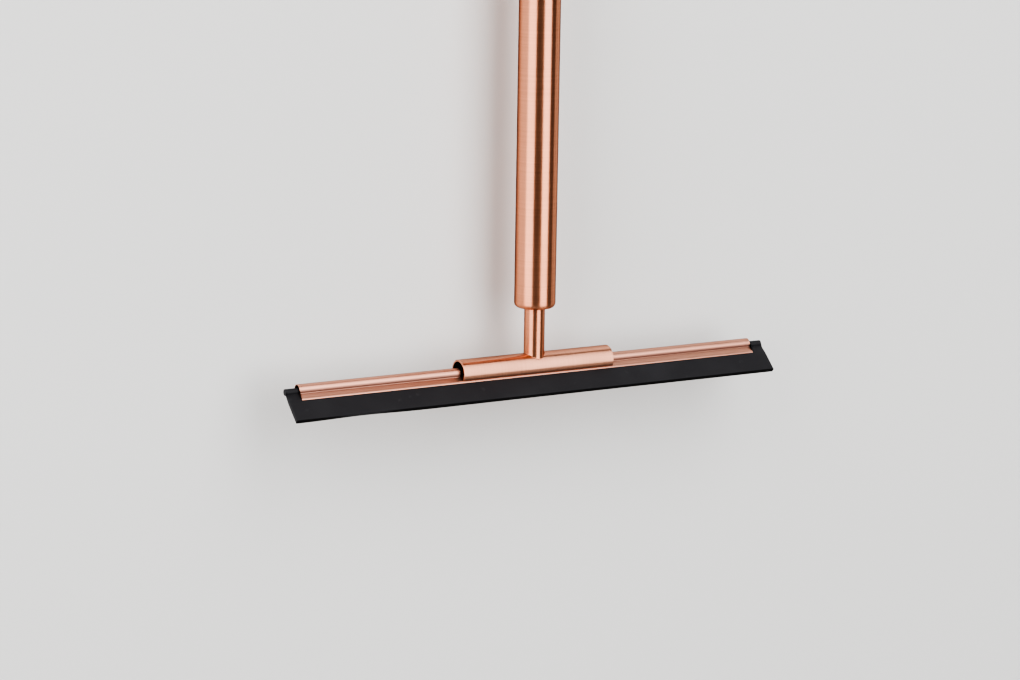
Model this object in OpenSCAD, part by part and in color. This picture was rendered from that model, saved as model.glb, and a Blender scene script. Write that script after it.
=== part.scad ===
// Window cleaning squeegee.
// A round tube handle hangs from a cross hole near its top. A neck rod screws
// into its lower end. The rod stands on a slotted clip tube, which grips a folded
// channel, and the channel holds a rubber blade by the bead along its top.
// Millimetres. Z runs up the handle, X runs along the blade, and -Y is the front,
// the side that the blade leans towards. The origin is the middle of the hanging hole.

/* [Handle] */
// Outside diameter of the handle
handle_d = 20; // [16:0.5:30]
// Wall of the handle tube
handle_wall = 1.2; // [0.8:0.1:2]
// Length of the handle, with both end plugs
handle_len = 190; // [120:5:320]
// Rounding of the handle's outer edge at both ends
end_round = 2.5; // [1:0.1:4]
// Height of each plug's head, which lies outside the tube
plug_head = 3.2; // [2.6:0.1:6]
// How far the lower plug reaches into the tube
plug_reach = 16; // [13:1:30]

/* [Hanging hole] */
// Diameter of the hole across the handle
hang_d = 7; // [4:0.5:10]
// From the top of the handle to the middle of the hole
hang_drop = 12; // [9:1:30]
// Solid plug left below the hole
hang_land = 4; // [2:1:10]

/* [Neck] */
// Diameter of the neck rod
neck_d = 10; // [8.6:0.2:14]
// From the handle's lower end to the middle of the clip tube
neck_drop = 28.6; // [16:0.5:60]
// How far the rod sinks into the handle's lower end
neck_seat = 1.2; // [0.6:0.1:2]

/* [Stud and washer] */
// Diameter over the stud's thread
stud_d = 6; // [4:0.5:7]
// Length of stud that each side holds
stud_grip = 10; // [6:1:12]
// Flat cut across both ends of the stud, to start the thread
stud_chamfer = 0.6; // [0.2:0.1:1]
// Thickness of the lock washer
washer_t = 0.8; // [0.5:0.1:1.5]

/* [Clip tube] */
// Outside diameter of the clip tube
clip_d = 12.6; // [11:0.2:18]
// Wall of the clip tube
clip_wall = 1; // [0.6:0.1:1.6]
// Length of the clip tube
clip_len = 83.5; // [40:0.5:140]

/* [Blade channel] */
// Angle of the blade below the horizontal
blade_angle = 42; // [20:1:70]
// Length of the channel
channel_len = 252; // [180:1:400]
// Thickness of the channel's sheet metal
strip_t = 0.4; // [0.3:0.05:0.5]
// Diameter over the channel's round back
bulb_d = 5.5; // [5:0.1:6]
// From the clip tube's axis to the middle of the round back, along the blade
bulb_set = 0.4; // [0:0.1:1.5]
// Width over the pinch between the round back and the lips
pinch_w = 1.74; // [1.6:0.02:2]
// Width over the lips at their edge
lip_w = 2.72; // [2.5:0.02:3]
// From the middle of the round back to the edge of the lips
lip_drop = 6.6; // [6:0.1:9]
// Where the channel sits along the clip tube at rest
channel_shift = -1.2; // [-10:0.1:10]

/* [Rubber blade] */
// Length of the rubber
rubber_len = 265.8; // [180:0.5:420]
// Thickness of the rubber below the channel
rubber_t = 1.9; // [1.6:0.1:2.4]
// From the middle of the channel's round back to the wiping edge
rubber_drop = 17.9; // [12:0.1:30]
// Diameter of the bead along the top of the rubber
bead_d = 3.2; // [2.8:0.1:3.7]
// Where the rubber sits along the clip tube at rest
rubber_shift = -0.8; // [-10:0.1:10]

/* [Fits] */
// Gap all round each plug in the tube
plug_fit = 0.02; // [0.01:0.01:0.1]
// Gap all round the stud in its threads
stud_fit = 0.05; // [0.02:0.01:0.1]
// Gap all round the neck rod in the handle's end
neck_fit = 0.08; // [0.04:0.01:0.1]
// Gap above and below the lock washer
washer_gap = 0.02; // [0.01:0.01:0.05]
// Gap between each lip and the edge of the clip tube's slot
slot_fit = 0.08; // [0.05:0.01:0.3]
// Gap between the rubber and the channel
rubber_fit = 0.07; // [0.04:0.01:0.2]

/* [Hidden] */

$fn = 96;
eps = 0.01;
copper = [0.78, 0.50, 0.38];
handle_r = handle_d / 2;
tube_bore_r = handle_r - handle_wall;
plug_r = tube_bore_r - plug_fit;
handle_top = hang_drop;
handle_bottom = handle_top - handle_len;
upper_reach = hang_drop + hang_d / 2 + hang_land - plug_head;

neck_r = neck_d / 2;
seat_depth = neck_seat + washer_t + 2 * washer_gap;
washer_z = handle_bottom + neck_seat + washer_gap;
neck_top = handle_bottom + neck_seat;
clip_z = handle_bottom - neck_drop;

stud_r = stud_d / 2;
thread_r = stud_r + stud_fit;
stud_top = handle_bottom + seat_depth + stud_grip;
stud_bottom = neck_top - stud_grip;

clip_r = clip_d / 2;
bulb_r = bulb_d / 2;
pinch_r = pinch_w / 2;
lip_r = lip_w / 2;
pinch_u = bulb_set + sqrt(pow(bulb_r, 2) - pow(pinch_r, 2));
lip_u = bulb_set + lip_drop;
lip_flare = (lip_r - pinch_r) / (lip_u - pinch_u);
slot_r = pinch_r + lip_flare * (clip_r - pinch_u) + slot_fit;

gap_r = pinch_r - strip_t;
web_r = rubber_t / 2;
bead_r = bead_d / 2;
bead_u = pinch_u - strip_t - sqrt(pow(bead_r + rubber_fit, 2) - pow(gap_r, 2));
edge_u = bulb_set + rubber_drop;

// Turns a flat outline into a bar along X. In the outline, X points along the
// blade, out and down, and Y points at right angles to it, forward and up.
module along_blade(length, shift = 0) {
    translate([shift, 0, clip_z])
        rotate([90 + blade_angle, 0, 0])
            rotate([0, -90, 0])
                linear_extrude(length, center = true)
                    children();
}

// Outline of half a plug from its axis outwards. The head's outer edge is rounded
// at the bottom, and the spigot stands on top of the head.
module plug_profile(reach) {
    square([handle_r - end_round, plug_head]);
    translate([0, end_round])
        square([handle_r, plug_head - end_round]);
    intersection() {
        translate([handle_r - end_round, end_round])
            circle(end_round);
        square([handle_r, plug_head]);
    }
    translate([0, plug_head - eps])
        square([plug_r, reach + eps]);
}

module handle_tube() {
    color(copper)
    difference() {
        translate([0, 0, handle_bottom + plug_head])
            cylinder(h = handle_len - 2 * plug_head, r = handle_r);
        translate([0, 0, handle_bottom])
            cylinder(h = handle_len, r = tube_bore_r);
        hanging_hole();
    }
}

module hanging_hole() {
    rotate([90, 0, 0])
        cylinder(h = handle_d + 2, r = hang_d / 2, center = true);
}

module lower_end_plug() {
    color(copper)
    translate([0, 0, handle_bottom])
        difference() {
            rotate_extrude()
                plug_profile(plug_reach);
            translate([0, 0, -1])
                cylinder(h = seat_depth + 1, r = neck_r + neck_fit);
            cylinder(h = plug_head + plug_reach + 1, r = thread_r);
        }
}

module upper_end_plug() {
    color(copper)
    difference() {
        translate([0, 0, handle_top])
            mirror([0, 0, 1])
                rotate_extrude()
                    plug_profile(upper_reach);
        hanging_hole();
    }
}

module neck_rod() {
    color(copper)
    difference() {
        translate([0, 0, clip_z])
            cylinder(h = neck_top - clip_z, r = neck_r);
        translate([0, 0, clip_z])
            rotate([0, 90, 0])
                cylinder(h = neck_d + 2, r = clip_r, center = true);
        translate([0, 0, stud_bottom])
            cylinder(h = stud_grip + 1, r = thread_r);
    }
}

module neck_stud() {
    color("silver")
    translate([0, 0, stud_bottom])
        rotate_extrude()
            polygon([
                [0, 0],
                [stud_r - stud_chamfer, 0],
                [stud_r, stud_chamfer],
                [stud_r, stud_top - stud_bottom - stud_chamfer],
                [stud_r - stud_chamfer, stud_top - stud_bottom],
                [0, stud_top - stud_bottom]
            ]);
}

module lock_washer() {
    color("whitesmoke")
    translate([0, 0, washer_z])
        difference() {
            cylinder(h = washer_t, r = neck_r);
            translate([0, 0, -1])
                cylinder(h = washer_t + 2, r = thread_r);
        }
}

module clip_tube() {
    color(copper)
    along_blade(clip_len)
        difference() {
            circle(clip_r);
            circle(clip_r - clip_wall);
            translate([0, -slot_r])
                square([clip_r + 1, 2 * slot_r]);
        }
}

// One lip of the channel, from the pinch outwards.
module lip_outline() {
    polygon([
        [pinch_u - strip_t, gap_r],
        [pinch_u, gap_r],
        [lip_u, lip_r - strip_t],
        [lip_u, lip_r],
        [pinch_u, pinch_r],
        [pinch_u - strip_t, pinch_r]
    ]);
}

// The channel's round back, open along the blade side.
module back_outline() {
    difference() {
        translate([bulb_set, 0])
            circle(bulb_r);
        translate([bulb_set, 0])
            circle(bulb_r - strip_t);
        translate([bulb_set, -gap_r])
            square([bulb_r + 1, 2 * gap_r]);
    }
}

module blade_channel() {
    color(copper) {
        along_blade(channel_len, channel_shift)
            back_outline();
        along_blade(channel_len, channel_shift)
            lip_outline();
        along_blade(channel_len, channel_shift)
            mirror([0, 1])
                lip_outline();
    }
}

// The rubber below its bead: a thin neck through the pinch, a wedge between the
// lips, and a flat web down to the square wiping edge.
module web_outline() {
    neck_half = gap_r - rubber_fit;
    lip_half = lip_r - strip_t - rubber_fit;
    polygon([
        [bead_u, neck_half],
        [pinch_u, neck_half],
        [lip_u, lip_half],
        [lip_u + web_r, web_r],
        [edge_u, web_r],
        [edge_u, -web_r],
        [lip_u + web_r, -web_r],
        [lip_u, -lip_half],
        [pinch_u, -neck_half],
        [bead_u, -neck_half]
    ]);
}

module rubber_blade() {
    color([0.10, 0.10, 0.11]) {
        along_blade(rubber_len, rubber_shift)
            translate([bead_u, 0])
                circle(bead_r);
        along_blade(rubber_len, rubber_shift)
            web_outline();
    }
}

handle_tube();
lower_end_plug();
upper_end_plug();
neck_rod();
neck_stud();
lock_washer();
clip_tube();
blade_channel();
rubber_blade();
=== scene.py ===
"""Dresses the window squeegee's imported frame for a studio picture.

Every length is in metres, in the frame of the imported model: Z runs up the handle, X along the
blade, and -Y is the front. The origin is the middle of the hanging hole.
"""

import logging
import math
from dataclasses import dataclass
from enum import Enum
from typing import Callable, Sequence

import bmesh
import bpy
from mathutils import Matrix, Vector


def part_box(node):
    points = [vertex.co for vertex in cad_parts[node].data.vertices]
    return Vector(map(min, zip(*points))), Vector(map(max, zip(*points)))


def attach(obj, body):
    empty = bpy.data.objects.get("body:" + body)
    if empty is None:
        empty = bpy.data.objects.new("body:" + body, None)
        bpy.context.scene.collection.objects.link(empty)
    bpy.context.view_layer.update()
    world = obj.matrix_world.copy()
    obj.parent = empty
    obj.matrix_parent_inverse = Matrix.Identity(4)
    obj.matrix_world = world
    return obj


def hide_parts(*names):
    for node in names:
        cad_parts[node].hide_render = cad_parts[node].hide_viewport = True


LOG = logging.getLogger("squeegee")
MM = 0.001

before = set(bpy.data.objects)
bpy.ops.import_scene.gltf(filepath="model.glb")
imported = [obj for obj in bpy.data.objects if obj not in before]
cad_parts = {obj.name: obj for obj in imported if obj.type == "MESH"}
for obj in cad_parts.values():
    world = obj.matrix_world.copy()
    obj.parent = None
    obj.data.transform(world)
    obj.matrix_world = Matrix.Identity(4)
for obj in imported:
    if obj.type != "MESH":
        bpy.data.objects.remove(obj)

Bm = bmesh.types.BMesh
Ring = list[bmesh.types.BMVert]
Point2 = tuple[float, float]
Triple = tuple[float, float, float]
Colour = Triple
Material = bpy.types.Material
Node = bpy.types.Node
NodeTree = bpy.types.NodeTree
Piece = bpy.types.Object
Socket = bpy.types.NodeSocket


class Axis(Enum):
    """The axis that a tube or bar runs along."""

    X = "X"
    Z = "Z"


class Slot(Enum):
    """The record's material slots."""

    COPPER = "brushed_copper"
    CHANNEL = "channel_copper"
    STEEL = "plain_steel"
    NYLON = "white_nylon"
    RUBBER = "black_rubber"


# ---------------------------------------------------------------- mesh helpers


def new_piece(name: str, bm: Bm, smooth_angle: float = 35.0) -> Piece:
    """Turns a finished bmesh into an object with outward faces and smooth shading.

    Args:
        name: The piece's name.
        bm: The mesh, already in its place in the row frame. It is freed.
        smooth_angle: Edges that turn by more degrees than this stay sharp.

    Returns:
        The new object, linked to the scene.
    """
    bmesh.ops.recalc_face_normals(bm, faces=bm.faces[:])
    if bm.calc_volume(signed=True) < 0:
        bmesh.ops.reverse_faces(bm, faces=bm.faces[:])
    mesh = bpy.data.meshes.new(name)
    bm.to_mesh(mesh)
    bm.free()
    mesh.shade_smooth()
    mesh.set_sharp_from_angle(angle=math.radians(smooth_angle))
    piece = bpy.data.objects.new(name, mesh)
    bpy.context.scene.collection.objects.link(piece)
    return piece


def add_ring(bm: Bm, points: Sequence[Vector]) -> Ring:
    """Adds one vertex for each point and returns them in order."""
    return [bm.verts.new(point) for point in points]


def bridge(bm: Bm, low: Ring, high: Ring, closed: bool = True) -> None:
    """Joins two rows of equal count with quads.

    Args:
        bm: The mesh that gets the faces.
        low: The first row.
        high: The second row, in step with the first.
        closed: Whether the rows run all the way round.
    """
    count = len(low)
    for i in range(count if closed else count - 1):
        j = (i + 1) % count
        bm.faces.new((low[i], low[j], high[j], high[i]))


def bridge_all(bm: Bm, rings: Sequence[Ring], closed: bool = True) -> None:
    """Joins each row to the next."""
    for low, high in zip(rings, rings[1:]):
        bridge(bm, low, high, closed)


def cap(bm: Bm, ring: Ring, centre: Vector) -> None:
    """Closes a ring with a fan round one middle vertex."""
    middle = bm.verts.new(centre)
    for i, vert in enumerate(ring):
        bm.faces.new((vert, ring[(i + 1) % len(ring)], middle))


def circle_points(radius: float, z: float, count: int) -> list[Vector]:
    """Points round the handle's axis at one height."""
    turns = (math.tau * i / count for i in range(count))
    return [Vector((radius * math.cos(a), radius * math.sin(a), z)) for a in turns]


def arc(centre: Point2, radius: float, start: float, end: float, steps: int) -> list[Point2]:
    """Points along an arc, from start to end in degrees, both included."""
    angles = (math.radians(start + (end - start) * i / steps) for i in range(steps + 1))
    return [(centre[0] + radius * math.cos(a), centre[1] + radius * math.sin(a)) for a in angles]


def lathe(bm: Bm, profile: Sequence[Point2], count: int, closed: bool) -> None:
    """Turns a profile of (radius, height) round the handle's axis.

    Args:
        bm: The mesh that gets the faces.
        profile: The outline. A closed one is a ring, and an open one is capped on the axis.
        count: Steps round the axis.
        closed: Whether the last point joins the first.
    """
    rings = [add_ring(bm, circle_points(r, z, count)) for r, z in profile]
    bridge_all(bm, rings + ([rings[0]] if closed else []))
    if not closed:
        cap(bm, rings[0], Vector((0, 0, profile[0][1])))
        cap(bm, rings[-1], Vector((0, 0, profile[-1][1])))


# ---------------------------------------------------------------- shader groups


def node_group(name: str, inputs: dict[str, float], outputs: Sequence[str]) -> NodeTree:
    """Makes an empty shader group with float sockets.

    Args:
        name: The group's name.
        inputs: Each input's name and its default value.
        outputs: Each output's name.

    Returns:
        The group, with its input and output nodes in place.
    """
    tree = bpy.data.node_groups.new(name, "ShaderNodeTree")
    for label, value in inputs.items():
        socket = tree.interface.new_socket(label, in_out="INPUT", socket_type="NodeSocketFloat")
        socket.default_value = value
    for label in outputs:
        tree.interface.new_socket(label, in_out="OUTPUT", socket_type="NodeSocketFloat")
    tree.nodes.new("NodeGroupInput")
    tree.nodes.new("NodeGroupOutput")
    return tree


def add_node(tree: NodeTree, kind: str, **values: object) -> Node:
    """Adds a node and sets its properties."""
    node = tree.nodes.new(kind)
    for key, value in values.items():
        setattr(node, key, value)
    return node


def math_node(tree: NodeTree, operation: str, *operands: object) -> Socket:
    """Adds a Math node whose operands are sockets or numbers, and returns its result."""
    node = add_node(tree, "ShaderNodeMath", operation=operation)
    for i, operand in enumerate(operands):
        if isinstance(operand, Socket):
            tree.links.new(operand, node.inputs[i])
        else:
            node.inputs[i].default_value = operand
    return node.outputs[0]


def noise(tree: NodeTree, vector: Socket, scale: float, detail: float) -> Socket:
    """Adds a Noise Texture on a vector and returns its value."""
    node = add_node(tree, "ShaderNodeTexNoise")
    node.inputs["Scale"].default_value = scale
    node.inputs["Detail"].default_value = detail
    node.inputs["Roughness"].default_value = 0.6
    tree.links.new(vector, node.inputs["Vector"])
    return node.outputs["Fac"]


def stretched(tree: NodeTree, scale: Sequence[object]) -> Socket:
    """Object coordinates, multiplied along each axis by a socket or a number."""
    place = add_node(tree, "ShaderNodeTexCoord")
    split = add_node(tree, "ShaderNodeSeparateXYZ")
    join = add_node(tree, "ShaderNodeCombineXYZ")
    tree.links.new(place.outputs["Object"], split.inputs[0])
    for i, factor in enumerate(scale):
        tree.links.new(math_node(tree, "MULTIPLY", split.outputs[i], factor), join.inputs[i])
    return join.outputs[0]


def grain_group() -> NodeTree:
    """Brush marks: fine lines across one axis, with broader bands.

    The inputs say how quickly the marks change along X, Y and Z. The outputs are a height for
    a bump and a streak for colour and roughness, each about 0.5 on average.
    """
    tree = node_group("brush_grain", {"Along X": 1.0, "Along Y": 1.0, "Along Z": 1.0}, ("Height", "Streak"))
    source, target = tree.nodes["Group Input"], tree.nodes["Group Output"]
    vector = stretched(tree, [source.outputs[i] for i in range(3)])
    fine = noise(tree, vector, 1.0, 3.0)
    broad = noise(tree, vector, 0.16, 2.0)
    for label, share in (("Height", 0.7), ("Streak", 0.45)):
        lines = math_node(tree, "MULTIPLY", fine, share)
        bands = math_node(tree, "MULTIPLY", broad, 1.0 - share)
        tree.links.new(math_node(tree, "ADD", lines, bands), target.inputs[label])
    return tree


def handling_group() -> NodeTree:
    """Marks of use: soft smears and a few small scuffs, each a mask from 0 to 1."""
    tree = node_group("handling_marks", {"Smear Scale": 60.0, "Scuff Scale": 500.0}, ("Smear", "Scuff"))
    source, target = tree.nodes["Group Input"], tree.nodes["Group Output"]
    place = add_node(tree, "ShaderNodeTexCoord")
    for label, entry, low, high in (("Smear", 0, 0.45, 0.75), ("Scuff", 1, 0.66, 0.74)):
        cloud = add_node(tree, "ShaderNodeTexNoise")
        cloud.inputs["Detail"].default_value = 4.0
        tree.links.new(source.outputs[entry], cloud.inputs["Scale"])
        tree.links.new(place.outputs["Object"], cloud.inputs["Vector"])
        band = add_node(tree, "ShaderNodeMapRange")
        band.inputs["From Min"].default_value = low
        band.inputs["From Max"].default_value = high
        tree.links.new(cloud.outputs["Fac"], band.inputs["Value"])
        tree.links.new(band.outputs[0], target.inputs[label])
    return tree


def depth_group() -> NodeTree:
    """How far down the blade a point is, in millimetres from the clip tube's axis."""
    tree = node_group("blade_depth", {"Lean": 0.7, "Axis Height": 0.0}, ("Depth",))
    source, target = tree.nodes["Group Input"], tree.nodes["Group Output"]
    place = add_node(tree, "ShaderNodeTexCoord")
    split = add_node(tree, "ShaderNodeSeparateXYZ")
    tree.links.new(place.outputs["Object"], split.inputs[0])
    drop = math_node(tree, "SUBTRACT", source.outputs[1], split.outputs["Z"])
    down = math_node(tree, "MULTIPLY", drop, math_node(tree, "SINE", source.outputs[0]))
    ahead = math_node(tree, "MULTIPLY", split.outputs["Y"], math_node(tree, "COSINE", source.outputs[0]))
    depth = math_node(tree, "MULTIPLY", math_node(tree, "SUBTRACT", down, ahead), 1000.0)
    tree.links.new(depth, target.inputs["Depth"])
    return tree


@dataclass(frozen=True)
class Groups:
    """The shader groups that the finishes share."""

    grain: NodeTree
    handling: NodeTree
    depth: NodeTree


def place_group(tree: NodeTree, group: NodeTree, *values: float) -> Node:
    """Adds a shared group to a material and sets its inputs in order."""
    node = add_node(tree, "ShaderNodeGroup", node_tree=group)
    for socket, value in zip(node.inputs, values):
        socket.default_value = value
    return node


def shader(name: str) -> tuple[Material, NodeTree, Node]:
    """Makes a material and returns it with its tree and its Principled shader."""
    material = bpy.data.materials.new(name)
    material.use_nodes = True
    return material, material.node_tree, material.node_tree.nodes["Principled BSDF"]


def mix_colour(tree: NodeTree, mask: Socket, first: Colour, second: Colour) -> Socket:
    """Blends two plain colours by a mask and returns the colour."""
    ramp = add_node(tree, "ShaderNodeValToRGB")
    ramp.color_ramp.elements[0].color = (*first, 1.0)
    ramp.color_ramp.elements[1].color = (*second, 1.0)
    tree.links.new(mask, ramp.inputs[0])
    return ramp.outputs[0]


def bump(tree: NodeTree, height: Socket, strength: float, depth: float) -> Socket:
    """Adds a Bump node and returns its normal."""
    node = add_node(tree, "ShaderNodeBump")
    node.inputs["Strength"].default_value = strength
    node.inputs["Distance"].default_value = depth
    tree.links.new(height, node.inputs["Height"])
    return node.outputs[0]


def fade(tree: NodeTree, value: Socket, start: float, end: float) -> Socket:
    """A mask that goes softly from 0 at start to 1 at end."""
    band = add_node(tree, "ShaderNodeMapRange", interpolation_type="SMOOTHSTEP")
    band.inputs["From Min"].default_value = start
    band.inputs["From Max"].default_value = end
    tree.links.new(value, band.inputs["Value"])
    return band.outputs[0]


def darkened(tree: NodeTree, colour: Socket, mask: Socket, shade: Colour) -> Socket:
    """Paints shade: multiplies a colour by a darker colour where the mask is 1."""
    mix = add_node(tree, "ShaderNodeMix", data_type="RGBA", blend_type="MULTIPLY")
    sockets = {socket.identifier: socket for socket in mix.inputs}
    sockets["B_Color"].default_value = (*shade, 1.0)
    tree.links.new(mask, sockets["Factor_Float"])
    tree.links.new(colour, sockets["A_Color"])
    return next(socket for socket in mix.outputs if socket.identifier == "Result_Color")


def spread(tree: NodeTree, value: Socket, low: float, high: float) -> Socket:
    """Maps a value from 0..1 to low..high."""
    band = add_node(tree, "ShaderNodeMapRange")
    band.inputs["To Min"].default_value = low
    band.inputs["To Max"].default_value = high
    tree.links.new(value, band.inputs["Value"])
    return band.outputs[0]


@dataclass(frozen=True)
class BrushedMetal:
    """Coated metal, brushed in fine lines, with an optional painted shade in a band along the blade channel's
    crease.
    """

    name: str
    light: Colour
    dark: Colour
    grain: Triple
    tangent: Axis
    smooth: float = 0.23
    rough: float = 0.36
    depth: float = 0.0008 * MM
    stretch: float = 0.9
    turn: float = 0.25
    rim: Colour = (0.20, 0.24, 0.28)
    crease: float | None = None
    crease_reach: float = 0.95
    crease_core: float = 0.15
    crease_painted_shade: Colour = (0.44, 0.44, 0.46)

    def material(self, groups: Groups, place: "BladeFrame") -> Material:
        """Builds the material.

        Args:
            groups: The shared shader groups.
            place: The blade's frame, which says where the painted crease shade goes.

        Returns:
            The finished material.
        """
        material, tree, base = shader(self.name)
        base.inputs["Specular Tint"].default_value = (*self.rim, 1.0)
        marks = place_group(tree, groups.grain, *self.grain)
        use = place_group(tree, groups.handling, 45.0, 420.0)
        base.inputs["Metallic"].default_value = 1.0
        base.inputs["Anisotropic"].default_value = self.stretch
        base.inputs["Anisotropic Rotation"].default_value = self.turn
        around = add_node(tree, "ShaderNodeTangent", direction_type="RADIAL", axis=self.tangent.value)
        tree.links.new(around.outputs[0], base.inputs["Tangent"])
        colour = mix_colour(tree, spread(tree, marks.outputs["Streak"], -0.4, 1.4), self.dark, self.light)
        # Painted shade: the base colour is darkened in a band round the channel's crease, where the folded
        # strip shades itself.
        if self.crease is not None:
            depth = place_group(tree, groups.depth, place.angle, place.axis_z).outputs[0]
            apart = math_node(tree, "ABSOLUTE", math_node(tree, "SUBTRACT", depth, self.crease))
            near = fade(tree, apart, self.crease_reach, self.crease_core)
            colour = darkened(tree, colour, near, self.crease_painted_shade)
        tree.links.new(colour, base.inputs["Base Color"])
        worn = math_node(tree, "MULTIPLY", use.outputs["Smear"], 0.05)
        rough = math_node(tree, "ADD", spread(tree, marks.outputs["Streak"], self.smooth, self.rough), worn)
        tree.links.new(rough, base.inputs["Roughness"])
        tree.links.new(bump(tree, marks.outputs["Height"], 0.6, self.depth), base.inputs["Normal"])
        return material


@dataclass(frozen=True)
class SatinRubber:
    """Black rubber with a satin skin, faint lengthwise drag lines, a few pale scuffs and painted shade on the
    wiping edge.
    """

    name: str = "satin_rubber"
    colour: Colour = (0.029, 0.028, 0.032)
    scuffed: Colour = (0.065, 0.064, 0.070)
    edge: float = 18.0
    cut_start: float = 0.35
    cut_full: float = 0.05
    edge_painted_shade: Colour = (0.15, 0.14, 0.13)
    smooth: float = 0.46
    rough: float = 0.6

    def material(self, groups: Groups, place: "BladeFrame") -> Material:
        """Builds the material from the shared groups; the wiping edge gets painted shade in its colour and a
        rougher matte finish.
        """
        material, tree, base = shader(self.name)
        lines = place_group(tree, groups.grain, 25.0, 900.0, 900.0)
        use = place_group(tree, groups.handling, 35.0, 260.0)
        drag = math_node(tree, "MULTIPLY", lines.outputs["Streak"], use.outputs["Smear"])
        drag = math_node(tree, "MULTIPLY", drag, 0.5)
        pale = math_node(tree, "MAXIMUM", math_node(tree, "MULTIPLY", use.outputs["Scuff"], 0.3), drag)
        depth = place_group(tree, groups.depth, place.angle, place.axis_z).outputs[0]
        # Painted shade: the colour darkens over the wiping edge's face, which points forward and down; the
        # same mask also makes that face rougher.
        cut = fade(tree, depth, self.edge - self.cut_start, self.edge - self.cut_full)
        skin = mix_colour(tree, pale, self.colour, self.scuffed)
        tree.links.new(darkened(tree, skin, cut, self.edge_painted_shade), base.inputs["Base Color"])
        satin = spread(tree, lines.outputs["Streak"], self.smooth, self.rough)
        rough = math_node(tree, "ADD", satin, math_node(tree, "MULTIPLY", cut, 0.3))
        tree.links.new(rough, base.inputs["Roughness"])
        tree.links.new(bump(tree, lines.outputs["Height"], 0.35, 0.01 * MM), base.inputs["Normal"])
        base.inputs["Specular IOR Level"].default_value = 0.35
        return material


@dataclass(frozen=True)
class PlainSolid:
    """A small hidden part's finish: one colour family with a faint mottle."""

    name: str
    light: Colour
    dark: Colour
    metallic: float
    roughness: tuple[float, float]

    def material(self, groups: Groups) -> Material:
        """Builds the material from the shared groups."""
        material, tree, base = shader(self.name)
        marks = place_group(tree, groups.grain, 1500.0, 1500.0, 1500.0)
        base.inputs["Metallic"].default_value = self.metallic
        colour = mix_colour(tree, marks.outputs["Streak"], self.dark, self.light)
        tree.links.new(colour, base.inputs["Base Color"])
        tree.links.new(spread(tree, marks.outputs["Streak"], *self.roughness), base.inputs["Roughness"])
        tree.links.new(bump(tree, marks.outputs["Height"], 0.2, 0.005 * MM), base.inputs["Normal"])
        return material


def dress(piece: Piece, material: Material, body: str, node: str) -> None:
    """Gives a piece its finish and its place in the frame.

    Args:
        piece: The finished piece.
        material: Its material.
        body: The CAD body that it rides on.
        node: The CAD node that it stands for.
    """
    piece.data.materials.clear()
    piece.data.materials.append(material)
    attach(piece, body)
    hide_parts(node)
    LOG.info("%s: %d faces, on body %s", piece.name, len(piece.data.polygons), body)


# ---------------------------------------------------------------- handle


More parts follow.
